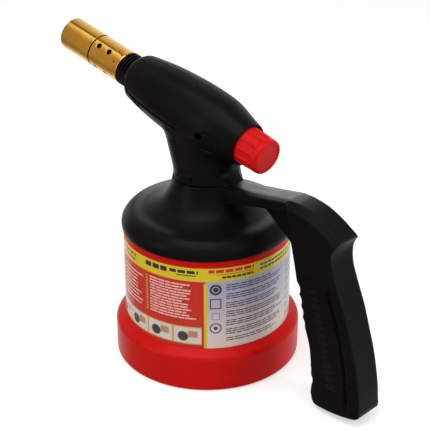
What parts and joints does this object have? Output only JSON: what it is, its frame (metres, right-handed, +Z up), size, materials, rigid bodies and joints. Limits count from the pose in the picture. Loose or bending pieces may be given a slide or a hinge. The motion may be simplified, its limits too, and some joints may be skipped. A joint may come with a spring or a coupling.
{
  "type": "butane torch",
  "caption": "Hand-held gas torch: screw-on cup for a pierceable butane cartridge, bell with pistol handle, tilted brass burner and rear knob that regulates and ignites.",
  "frame": {"origin": "centre of the foot's underside, on the cup's centre line", "axes": "+Z up along the cup's centre line, +X towards the burner, +Y to the left side of a user who looks along the burner; the plane y = 0 is the torch's plane of symmetry"},
  "size_m": [0.2355, 0.108, 0.177],
  "materials": {
    "cup_plastic": "satin moulded red plastic",
    "label_film": "printed film, yellow, red and pale grey panels",
    "can_steel": "lacquered tinplate",
    "black_plastic": "fine moulded grain",
    "grip_plastic": "soft matte",
    "brass_polished": "polished",
    "brass_turned": "turned",
    "steel": "zinc plated",
    "seal_rubber": "matt",
    "sinter_bronze": "sintered, matt",
    "knob_plastic": "satin red plastic",
    "natural_plastic": "natural acetal",
    "ceramic": null,
    "lead_insulation": "silicone lead"
  },
  "bodies": {
    "torch": {"bell_housing": "black_plastic", "grip_cover": "grip_plastic", "piercing_needle": "steel", "piercing_gasket": "seal_rubber", "stem_nut": "brass_turned", "gas_filter": "sinter_bronze", "valve_body": "brass_turned", "gland_nut": "brass_turned", "gas_lance": "brass_turned", "gas_jet": "brass_turned", "mixing_tube": "brass_polished", "flame_tube": "brass_polished", "flame_disc": "sinter_bronze", "burner_collar": "black_plastic", "head_shell_left": "black_plastic", "head_shell_right": "black_plastic", "underside_cover": "black_plastic", "head_screws": "steel", "piezo_spring": "steel", "piezo_element": "ceramic", "piezo_case": "natural_plastic", "ignition_lead": "lead_insulation", "electrode_insulator": "ceramic", "electrode": "steel"},
    "cartridge": {"gas_cartridge": "can_steel"},
    "cup": {"cartridge_cup": "cup_plastic", "cup_label": "label_film"},
    "push_button": {"push_ring": "natural_plastic", "piezo_plunger": "natural_plastic"},
    "knob": {"control_knob": "knob_plastic", "knob_cap": "knob_plastic"},
    "spindle_seal": {"spindle_o_ring": "seal_rubber"},
    "spindle": {"valve_spindle": "steel", "knob_screw": "steel"},
    "hammer": {"piezo_hammer": "steel"}
  },
  "joints": [
    {"name": "cup_turn", "type": "hinge", "parent": "cartridge", "child": "cup", "pos_m": [0, 0, 0.05], "axis": [0, 0, -1], "range_deg": [0, 60]},
    {"name": "cup_drop", "type": "slide", "parent": "torch", "child": "cartridge", "axis": [0, 0, -1], "range_m": [0, 0.0061]},
    {"name": "knob_push", "type": "slide", "parent": "torch", "child": "push_button", "axis": [0.977, 0, 0.213], "range_m": [0, 0.0035], "stiffness_N_per_m": 600, "springref_m": -0.004, "deforming": ["piezo_spring"]},
    {"name": "knob_turn", "type": "hinge", "parent": "push_button", "child": "knob", "pos_m": [-0.02931, 0, 0.13651], "axis": [-0.977, 0, -0.213], "range_deg": [0, 541]},
    {"name": "spindle_lift", "type": "slide", "parent": "torch", "child": "spindle_seal", "axis": [-0.977, 0, -0.213], "range_m": [0, 0.00112]},
    {"name": "spindle_turn", "type": "hinge", "parent": "spindle_seal", "child": "spindle", "pos_m": [-0.00977, 0, 0.14077], "axis": [-0.977, 0, -0.213], "range_deg": [0, 541]},
    {"name": "hammer_strike", "type": "slide", "parent": "torch", "child": "hammer", "axis": [0.977, 0, 0.213], "range_m": [0, 0.0019]}
  ],
  "couplings": [
    {"joint": "cup_drop", "follows": "cup_turn", "m_per_rad": 0.0057296},
    {"joint": "knob_turn", "follows": "spindle_lift", "rad_per_m": 8377.6},
    {"joint": "spindle_turn", "follows": "spindle_lift", "rad_per_m": 8377.6}
  ]
}
